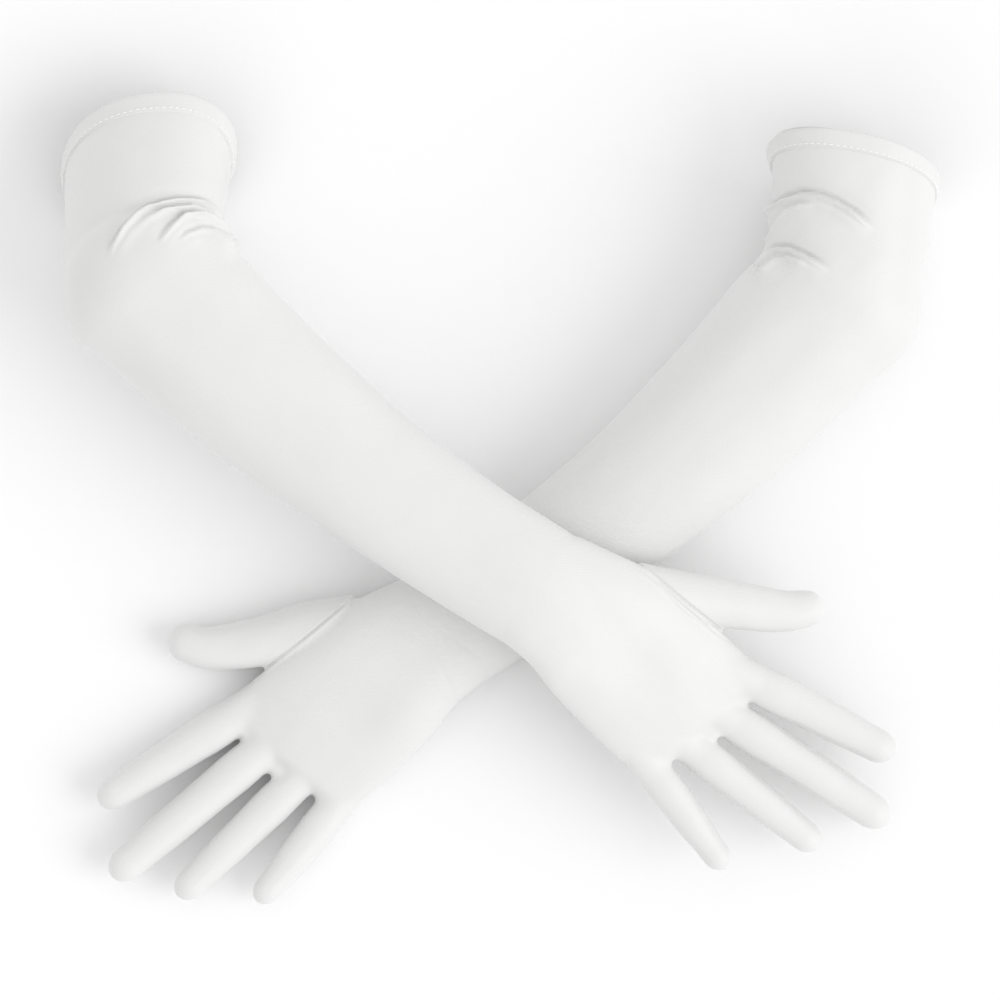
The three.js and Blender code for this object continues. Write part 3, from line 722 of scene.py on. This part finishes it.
    def shape(self):
        """The forms that a worn glove takes: elbow, folds, hollows, seams and loose waves."""
        mm = 1 / MM
        p, lines = self.points, self.lines
        rel = (p - lines.elbow) * mm
        lift = np.zeros(len(p))
        palm_up = np.sign(self.above)

        ahead = unit((lines.wrist - lines.elbow) * [1, 1, 0])
        out = unit((lines.hem - lines.elbow) * [1, 1, 0])
        point = -unit(ahead + out) * 37 + ahead * ELBOW_TIP[lines.name]
        away = np.linalg.norm((rel - [*point[:2], 0]) / [1, 1, 1.5], axis=1)
        height, size = ELBOW_BUMP
        lift += height * np.exp(-((away / size) ** 2))

        on_elbow = np.isin(self.limb, ("sleeve", "forearm"))
        for height, crest in FOLDS[lines.name]:
            distance, share, side = near_line(rel[:, :2], np.array(crest))
            # Hemward is positive: the cloth dips sharply there and falls away slowly on the other side.
            hemward = distance * side * lines.thumb_side
            x = np.clip(share / (0.16 if height > MAIN_FOLD else 0.3), 0, 1)
            taper = x * x * (3 - 2 * x)
            crisp = np.exp(-(((hemward + 1.2) / 1.3) ** 2)) - 0.75 * np.exp(-(((hemward - 1.1) / 1.1) ** 2))
            slope = 0.5 * np.exp(-(((hemward + 4.2) / 3.0) ** 2))
            slope -= 0.25 * np.exp(-(((hemward - 3.5) / 3.0) ** 2))
            strength = np.where(palm_up > 0, 1.0, 0.8)
            lift += np.where(on_elbow, height * strength * taper * (crisp + slope), 0)

        f, a = self.forward * mm, self.aside * mm
        facing = np.clip(self.above * mm / 6, 0, 1)
        palm = np.where(np.isin(self.limb, ("sleeve", "forearm")) & (f < -30), 0, facing)
        for height, ff, aa, size in PALM_FORMS:
            lift += palm * height * np.exp(-((f - ff) ** 2 + (a - aa) ** 2) / size**2)
        if lines.name == "right":
            for start, lean, height in WRIST_CREASES:
                crease = f - start - lean * a
                near = np.exp(-(((f - start) / 12) ** 2) - ((a + 18) / 16) ** 2)
                lift += np.where(palm_up > 0, -height * np.exp(-((crease / 1.6) ** 2)) * near, 0)

        lift += self.loose_waves()
        sizes = bpy.context.scene.glove_sizes
        lift -= sizes.seam_depth * mm * self.seams()
        self.points = p + self.normals * (lift * MM)[:, None]
        self.points[:, 2] = np.maximum(self.points[:, 2], 0.0001)

    def loose_waves(self):
        """Low waves that run along the arm, where the cloth isn't stretched tight."""
        height = bpy.context.scene.glove_sizes.slackness / MM
        start = 7.3 if self.lines.name == "left" else 31.7
        out = np.empty(len(self.points))
        ahead = unit((self.lines.wrist - self.lines.elbow) * [1, 1, 0])
        aside = np.cross(UP, ahead)
        rel = (self.points - self.lines.elbow) / MM
        for i, (s, c, z) in enumerate(np.stack([rel @ ahead, rel @ aside, rel[:, 2]], axis=1)):
            wide = noise.noise(Vector((s / 60 + start, c / 17, z / 17)))
            small = noise.noise(Vector((s / 21 + start, c / 9 + 5, z / 9)))
            out[i] = wide + 0.4 * small
        return height * out

    def seams(self):
        """1 on a sewn line and 0 away from it."""
        mm = 1 / MM
        level = np.abs(self.above) * mm
        finger = np.isin(self.limb, FINGERS)
        arm = ~finger & (self.limb != "thumb")
        before_roots = np.clip((100 - self.forward * mm) / 12, 0, 1)
        past_root = np.clip((self.along * mm - 15) / 9, 0, 1)
        out = np.where(arm, np.exp(-((level / 0.9) ** 2)) * before_roots, 0)
        out += np.where(finger, np.exp(-(((level - STRIP_HALF) / 0.8) ** 2)) * past_root, 0)
        rel = (self.points - self.lines.thumb_root) * mm
        across, beside = rel @ self.lines.aside, rel @ self.lines.forward
        run = np.clip((SEAM_HALF - np.abs(beside)) / 6, 0, 1) * np.isin(self.limb, ("hand", "thumb"))
        out += 2.6 * np.exp(-((across / 0.6) ** 2)) * run
        for place, height in PIPING[self.lines.name]:
            out -= height * np.exp(-(((across + place) / 0.75) ** 2)) * run * (self.above > 0)
        return out

    def panels(self):
        """The name of the panel that each face belongs to."""
        loops = read(self.mesh.loops, "vertex_index", kind=np.int64)
        first = loops[read(self.mesh.polygons, "loop_start", kind=np.int64)]
        limb = self.limb[first]
        above = self.above[first]
        across = self.across[first]
        forward = self.forward[first]
        side = np.where(above > 0, "palm_panel", "back_panel")
        half = -0.4 * np.linalg.norm((self.lines.wrist - self.lines.elbow)[:2])
        on_sleeve = (limb == "sleeve") | ((limb == "forearm") & (forward < half))
        on_hand = (limb == "hand") | ((limb == "forearm") & ~on_sleeve)
        out = np.empty(len(first), dtype="<U40")
        for group, name in ((on_sleeve, "sleeve"), (on_hand, "hand")):
            for panel in ("palm_panel", "back_panel"):
                out[group & (side == panel)] = f"{name}_{panel}"
        out[limb == "thumb"] = "thumb"
        for order, finger in enumerate(FINGERS):
            here = limb == finger
            for panel in ("palm_panel", "back_panel"):
                out[here & (side == panel)] = f"{finger}_{panel}"
            root, tip = self.lines.fingers[finger]
            reach = np.linalg.norm((tip - root)[:2]) - 14 * MM
            for sign, other in ((1, order - 1), (-1, order + 1)):
                if 0 <= other < len(FINGERS):
                    strip = here & (np.abs(above) < STRIP_HALF * MM) & (np.sign(across) == sign)
                    strip &= self.along[first] < reach
                    out[strip] = f"{finger}_strip_beside_{FINGERS[other]}"
        return out

    def piece(self, panel, labels, name):
        """One panel as an object of its own, shaded as part of the whole skin."""
        chosen = np.nonzero(labels == panel)[0]
        faces = [tuple(self.mesh.polygons[i].vertices) for i in chosen]
        used = np.unique(np.concatenate([np.array(f) for f in faces]))
        index = {int(v): i for i, v in enumerate(used)}
        mesh = bpy.data.meshes.new(name)
        mesh.from_pydata(self.points[used].tolist(), [], [tuple(index[v] for v in f) for f in faces])
        layer = mesh.uv_layers.new(name="cloth")
        p = self.points[used]
        uv = np.stack([p @ unit(way) for way in CLOTH_WAYS], axis=1)
        loops = read(mesh.loops, "vertex_index", kind=np.int64)
        layer.data.foreach_set("uv", uv[loops].ravel().astype(np.float32))
        mesh.polygons.foreach_set("use_smooth", np.ones(len(mesh.polygons), bool))
        mesh.normals_split_custom_set_from_vertices(self.normals[used].tolist())
        mesh.update()
        return placed(mesh)


SKINS = {}


def skin_of(name):
    if name not in SKINS:
        skin = Skin(name)
        SKINS[name] = (skin, skin.panels())
    return SKINS[name]


# ---- materials ----


def satin(name, colour, roughness, sheen, rib, strength):
    """White stretch satin: fine diagonal ribs, a soft sheen along the threads and slight unevenness."""
    material = bpy.data.materials.get(name)
    if material:
        return material
    material = bpy.data.materials.new(name)
    material.use_nodes = True
    nodes, links = material.node_tree.nodes, material.node_tree.links
    shader = nodes["Principled BSDF"]
    shader.inputs["Sheen Weight"].default_value = sheen
    shader.inputs["Sheen Roughness"].default_value = 0.35
    shader.inputs["Specular IOR Level"].default_value = 0.35
    shader.inputs["Anisotropic"].default_value = 0.35

    place = nodes.new("ShaderNodeTexCoord")
    uneven = nodes.new("ShaderNodeTexNoise")
    uneven.inputs["Scale"].default_value = 28
    uneven.inputs["Detail"].default_value = 4
    links.new(place.outputs["Object"], uneven.inputs["Vector"])

    tint = nodes.new("ShaderNodeMix")
    tint.data_type = "RGBA"
    tint.inputs["A"].default_value = (*[c * 0.965 for c in colour], 1)
    tint.inputs["B"].default_value = (*[min(c * 1.03, 1) for c in colour], 1)
    links.new(uneven.outputs["Fac"], tint.inputs["Factor"])
    links.new(tint.outputs["Result"], shader.inputs["Base Color"])

    rough = nodes.new("ShaderNodeMapRange")
    rough.inputs["To Min"].default_value = roughness - 0.06
    rough.inputs["To Max"].default_value = roughness + 0.06
    links.new(uneven.outputs["Fac"], rough.inputs["Value"])
    links.new(rough.outputs["Result"], shader.inputs["Roughness"])

    cloth = nodes.new("ShaderNodeUVMap")
    cloth.uv_map = "cloth"
    ribs = nodes.new("ShaderNodeTexWave")
    ribs.bands_direction = "DIAGONAL"
    ribs.inputs["Scale"].default_value = 0.31 / rib
    ribs.inputs["Distortion"].default_value = 0.6
    ribs.inputs["Detail"].default_value = 1.0
    links.new(cloth.outputs["UV"], ribs.inputs["Vector"])
    yarn = nodes.new("ShaderNodeTexNoise")
    yarn.inputs["Scale"].default_value = 1 / rib
    links.new(cloth.outputs["UV"], yarn.inputs["Vector"])
    both = nodes.new("ShaderNodeMath")
    both.operation = "ADD"
    links.new(ribs.outputs["Fac"], both.inputs[0])
    links.new(yarn.outputs["Fac"], both.inputs[1])
    bump = nodes.new("ShaderNodeBump")
    bump.inputs["Strength"].default_value = strength
    bump.inputs["Distance"].default_value = 0.00012
    links.new(both.outputs["Value"], bump.inputs["Height"])
    links.new(bump.outputs["Normal"], shader.inputs["Normal"])
    return material


def glove_satin():
    look = bpy.context.scene.cloth_look
    return satin("glove_satin", look.colour, look.roughness, look.sheen, look.rib, 0.35)


def hem_satin():
    look = bpy.context.scene.cloth_look
    return satin("hem_satin", look.colour, look.roughness + 0.03, look.sheen, look.rib, 0.45)


def thread_finish():
    look = bpy.context.scene.cloth_look
    return satin("hem_thread", look.thread, 0.5, 0.1, look.rib * 0.4, 0.7)


# ---- panels ----


def across_joint(obj, name, panel):
    """Bakes a panel's placement into its mesh; the ends of the joint it crosses are worked out but not used.
    """
    lines = skin_of(name)[0].lines
    if panel.startswith("sleeve"):
        ahead = unit((lines.wrist - lines.elbow) * [1, 1, 0])
        out = unit((lines.hem - lines.elbow) * [1, 1, 0])
        way = unit(ahead - out)
        start, end = lines.elbow - way * 0.022, lines.elbow + way * 0.022
        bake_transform(obj)
        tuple(start)
        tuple(end)
    elif panel.startswith("hand"):
        start, end = lines.wrist - lines.forward * 0.028, lines.wrist + lines.forward * 0.022
        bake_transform(obj)
        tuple(start)
        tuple(end)
    elif panel.startswith("thumb"):
        start = lines.thumb_root + lines.aside * 0.001
        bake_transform(obj)
        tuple(start)
    else:
        finger = panel.split("_")[0]
        root, tip = lines.fingers[finger]
        way = unit((tip - root) * [1, 1, 0])
        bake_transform(obj)


def stood_for(name, panel):
    """The CAD nodes that a cloth panel stands for."""
    if panel.startswith("sleeve"):
        side = panel.removeprefix("sleeve_")
        return [f"{name}_upper_sleeve_{side}", f"{name}_forearm_{side}"]
    return [f"{name}_{panel}"]


def make_panels(chosen):
    for name in SIDES:
        skin, labels = skin_of(name)
        for panel in sorted(set(labels)):
            if not chosen(panel):
                continue
            obj = skin.piece(panel, labels, f"{name}_{panel}_cloth")
            obj.data.materials.append(glove_satin())
            across_joint(obj, name, panel)
            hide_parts(*stood_for(name, panel))


class GLOVES_OT_sleeves(bpy.types.Operator):
    """Makes the palm and back panels from the hem to below the elbow"""

    bl_idname = "gloves.sleeves"
    bl_label = "Sleeve panels"

    def execute(self, context):
        make_panels(lambda panel: panel.startswith("sleeve"))
        return {"FINISHED"}


class GLOVES_OT_hands(bpy.types.Operator):
    """Makes the palm and back panels of the hands"""

    bl_idname = "gloves.hands"
    bl_label = "Hand panels"

    def execute(self, context):
        make_panels(lambda panel: panel.startswith("hand"))
        return {"FINISHED"}


class GLOVES_OT_fingers(bpy.types.Operator):
    """Makes the fingers' panels and the strips between them"""

    bl_idname = "gloves.fingers"
    bl_label = "Finger panels"

    def execute(self, context):
        make_panels(lambda panel: panel.split("_")[0] in FINGERS)
        return {"FINISHED"}


class GLOVES_OT_thumbs(bpy.types.Operator):
    """Makes the thumbs"""

    bl_idname = "gloves.thumbs"
    bl_label = "Thumbs"

    def execute(self, context):
        make_panels(lambda panel: panel == "thumb")
        return {"FINISHED"}


# ---- hems ----


def hem_point(rings, at, c, s, out):
    """A point on the sleeve at a distance from the hem, moved out from the surface."""
    distance = np.linalg.norm(rings["p"] - rings["p"][0], axis=1)

    def there(key):
        return np.array([np.interp(at, distance, rings[key][:, i]) for i in range(3)])

    p, side, up = there("p"), there("side"), there("up")
    w, t = np.interp(at, distance, rings["w"]), np.interp(at, distance, rings["t"])
    flat = p + side * (w * c) + up * (t * s)
    away = unit(side * (c / w) + up * (s / t))
    return flat + away * out


def hem_profile(depth, rise, lip):
    """Across the hem: up the outside, round the fold and down the turned-in side."""
    thick = 1.5 * MM
    edge = rise + lip
    outer = [(depth, 0.0), (depth * 0.97, rise * 0.9), (depth * 0.8, rise), (depth * 0.5, rise + lip * 0.25)]
    outer += [(depth * 0.25, rise + lip * 0.65), (0.5 * MM, edge)]
    fold = [(-0.1 * MM, edge - thick * 0.2), (-0.3 * MM, edge - thick * 0.55), (0.1 * MM, edge - thick * 0.9)]
    inner = [(0.9 * MM, edge - thick), (depth * 0.5, rise + lip * 0.2 - thick), (depth, -thick * 0.5)]
    return outer + fold + inner


class GLOVES_OT_hems(bpy.types.Operator):
    """Makes the turned hem of each glove"""

    bl_idname = "gloves.hems"
    bl_label = "Hems"

    def execute(self, context):
        sizes = context.scene.glove_sizes
        profile = hem_profile(sizes.hem_depth, sizes.hem_rise, sizes.hem_lip)
        around = 260
        for name in SIDES:
            rings = upper_rings(Lines(name), count=80)
            angle = np.arange(around) / around * 2 * math.pi
            c, s = super_ellipse(angle, ARM_POWER)
            vertices, uv = [], []
            for j in range(around):
                place = Vector((math.cos(angle[j]) * 2.1, math.sin(angle[j]) * 2.1, 3.0))
                ease = 0.25 * MM * noise.noise(place)
                for k, (at, out) in enumerate(profile):
                    vertices.append(hem_point(rings, at, c[j], s[j], out + ease))
                    uv.append((at, angle[j] * 42 * MM))
            n = len(profile)
            faces = []
            for j in range(around):
                for k in range(n):
                    a, b = j * n + k, j * n + (k + 1) % n
                    d, e = ((j + 1) % around) * n + k, ((j + 1) % around) * n + (k + 1) % n
                    faces.append((a, d, e, b))
            mesh = bpy.data.meshes.new(f"{name}_hem_band_cloth")
            mesh.from_pydata([tuple(v) for v in vertices], [], faces)
            layer = mesh.uv_layers.new(name="cloth")
            for loop in mesh.loops:
                layer.data[loop.index].uv = uv[loop.vertex_index]
            mesh.shade_smooth()
            obj = placed(mesh)
            mesh.materials.append(hem_satin())
            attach(obj, f"{name}_upper_sleeve")
            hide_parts(f"{name}_hem_band")
        return {"FINISHED"}


def stitch(bm, start, end, away, radius):
    """One stitch: a short thread that dips into the cloth at both ends."""
    way = unit(end - start)
    across = unit(np.cross(way, away))
    rows = []
    for share in np.linspace(0, 1, 7):
        dip = math.sin(share * math.pi) ** 0.5
        centre = start + (end - start) * share + away * radius * (1.3 * dip - 0.6)
        girth = radius * (0.45 + 0.55 * dip)
        ring = []
        for k in range(8):
            turn = k / 8 * 2 * math.pi
            out = across * girth * math.cos(turn) + away * girth * math.sin(turn)
            ring.append(bm.verts.new(centre + out))
        rows.append(ring)
    for a, b in zip(rows, rows[1:]):
        for k in range(8):
            bm.faces.new((a[k], a[(k + 1) % 8], b[(k + 1) % 8], b[k]))
    bm.faces.new(rows[0][::-1])
    bm.faces.new(rows[-1])


class GLOVES_OT_stitches(bpy.types.Operator):
    """Makes the row of stitches that holds each hem"""

    bl_idname = "gloves.stitches"
    bl_label = "Hem stitches"

    def execute(self, context):
        sizes = context.scene.glove_sizes
        at = sizes.hem_depth * 0.84
        for name in SIDES:
            rings = upper_rings(Lines(name), count=80)
            angle = np.linspace(0, 2 * math.pi, 721)
            c, s = super_ellipse(angle, ARM_POWER)
            path = np.array([hem_point(rings, at, a, b, sizes.hem_rise) for a, b in zip(c, s)])
            outer = np.array([hem_point(rings, at, a, b, sizes.hem_rise + MM) for a, b in zip(c, s)])
            length = np.concatenate([[0], np.cumsum(np.linalg.norm(np.diff(path, axis=0), axis=1))])
            count = round(length[-1] / (sizes.stitch_length + sizes.stitch_gap))
            bm = bmesh.new()
            for i in range(count):
                ends = []
                for d in (0.0, sizes.stitch_length):
                    where = i * length[-1] / count + d
                    ends.append(np.array([np.interp(where, length, path[:, k]) for k in range(3)]))
                near = np.searchsorted(length, i * length[-1] / count)
                stitch(bm, ends[0], ends[1], unit(outer[near] - path[near]), sizes.stitch_radius)
            mesh = bpy.data.meshes.new(f"{name}_hem_stitches")
            bm.to_mesh(mesh)
            bm.free()
            mesh.uv_layers.new(name="cloth")
            mesh.shade_smooth()
            obj = placed(mesh)
            mesh.materials.append(thread_finish())
            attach(obj, f"{name}_upper_sleeve")
            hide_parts(f"{name}_hem_stitching")
        return {"FINISHED"}


# ---- stage ----


def soft_light(name, place, strength, softness):
    """Even, soft light from far away, shining from place towards the middle."""
    data = bpy.data.lights.new(name, "SUN")
    data.energy = strength
    data.angle = softness
    light = bpy.data.objects.new(name, data)
    light.location = place
    light.rotation_euler = Vector(place).to_track_quat("Z", "Y").to_euler()
    bpy.context.scene.collection.objects.link(light)


class GLOVES_OT_stage(bpy.types.Operator):
    """Makes the pale floor, the soft light and the camera straight above"""

    bl_idname = "gloves.stage"
    bl_label = "Stage"

    def execute(self, context):
        scene = context.scene
        bm = bmesh.new()
        bmesh.ops.create_grid(bm, x_segments=4, y_segments=4, size=6)
        mesh = bpy.data.meshes.new("floor")
        bm.to_mesh(mesh)
        bm.free()
        floor = placed(mesh)
        paint = bpy.data.materials.new("floor_paint")
        paint.use_nodes = True
        shader = paint.node_tree.nodes["Principled BSDF"]
        shader.inputs["Base Color"].default_value = (0.97, 0.97, 0.97, 1)
        shader.inputs["Roughness"].default_value = 0.9
        shader.inputs["Specular IOR Level"].default_value = 0.0
        mesh.materials.append(paint)

        world = bpy.data.worlds.new("studio")
        scene.world = world
        world.use_nodes = True
        world.node_tree.nodes["Background"].inputs["Color"].default_value = (1, 1, 1, 1)
        world.node_tree.nodes["Background"].inputs["Strength"].default_value = 0.87
        soft_light("key", (1.6, -0.5, 1.3), 0.95, math.radians(45))

        scene.view_settings.view_transform = "Standard"
        scene.view_settings.look = "None"
        data = bpy.data.cameras.new("camera")
        data.lens = 400
        data.sensor_width = 36
        data.clip_end = 100
        camera = bpy.data.objects.new("camera", data)
        camera.location = (-0.0005, -0.0005, 0.03 + 0.5 * data.lens / data.sensor_width)
        scene.collection.objects.link(camera)
        scene.camera = camera
        return {"FINISHED"}


# ---- add-on ----


class GLOVES_PT_panel(bpy.types.Panel):
    bl_label = "Opera gloves"
    bl_idname = "GLOVES_PT_panel"
    bl_space_type = "VIEW_3D"
    bl_region_type = "UI"
    bl_category = "Gloves"

    def draw(self, context):
        for operator in OPERATORS:
            self.layout.operator(operator.bl_idname)
        for group in (context.scene.glove_sizes, context.scene.cloth_look):
            for name in group.__annotations__:
                self.layout.prop(group, name)


OPERATORS = (
    GLOVES_OT_stage,
    GLOVES_OT_sleeves,
    GLOVES_OT_hands,
    GLOVES_OT_fingers,
    GLOVES_OT_thumbs,
    GLOVES_OT_hems,
    GLOVES_OT_stitches,
)
CLASSES = (GloveSizes, ClothLook, *OPERATORS, GLOVES_PT_panel)


def register():
    for cls in CLASSES:
        bpy.utils.register_class(cls)
    bpy.types.Scene.glove_sizes = PointerProperty(type=GloveSizes)
    bpy.types.Scene.cloth_look = PointerProperty(type=ClothLook)


def unregister():
    del bpy.types.Scene.cloth_look
    del bpy.types.Scene.glove_sizes
    for cls in reversed(CLASSES):
        bpy.utils.unregister_class(cls)


def main():
    register()
    bpy.ops.gloves.stage()
    bpy.ops.gloves.sleeves()
    bpy.ops.gloves.hands()
    bpy.ops.gloves.fingers()
    bpy.ops.gloves.thumbs()
    bpy.ops.gloves.hems()
    bpy.ops.gloves.stitches()


if __name__ == "__main__":
    main()
